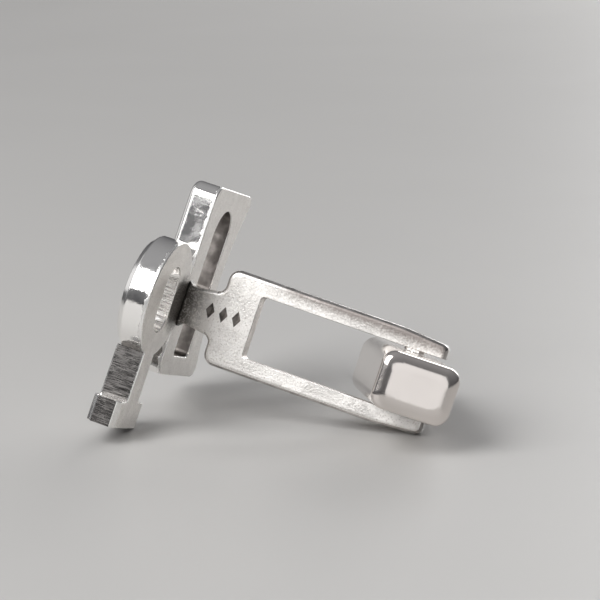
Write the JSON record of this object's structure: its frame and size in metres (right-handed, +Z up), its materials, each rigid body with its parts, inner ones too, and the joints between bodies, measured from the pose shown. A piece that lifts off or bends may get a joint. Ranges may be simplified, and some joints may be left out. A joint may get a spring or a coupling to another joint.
{
  "type": "cufflink",
  "caption": "Swivel-bar cufflink: an openwork buckle, ring and T-bar face soldered to a forked post, with a chunky polished toggle that turns on a riveted pin.",
  "frame": {"origin": "middle of the part's box on the table that it lies on", "axes": "+Z up from the table, +X level along the post from the face to the toggle, -Y the side that was pictured; the part lies on the T-bar's foot, an arm's tip and the toggle's far end"},
  "size_m": [0.0284, 0.0218, 0.0183],
  "materials": {
    "face_silver": "polished silver walls, satin back",
    "post_silver": "satin silver, fine grain",
    "pin_silver": "polished silver",
    "toggle_silver": "mirror polished silver",
    "spring_steel": "cold rolled spring steel"
  },
  "bodies": {
    "shank": {"face_buckle": "face_silver", "face_ring": "face_silver", "face_tbar": "face_silver", "post_frame": "post_silver", "pivot_pin": "pin_silver"},
    "toggle": {"toggle_shell": "toggle_silver", "toggle_cap_near": "toggle_silver", "toggle_cap_far": "toggle_silver", "leaf_spring": "spring_steel"}
  },
  "joints": [
    {"name": "toggle_swivel", "type": "hinge", "parent": "shank", "child": "toggle", "pos_m": [0.00835, -0.0005, 0.00403], "axis": [0.261, 0.2731, 0.9259], "continuous": true}
  ]
}
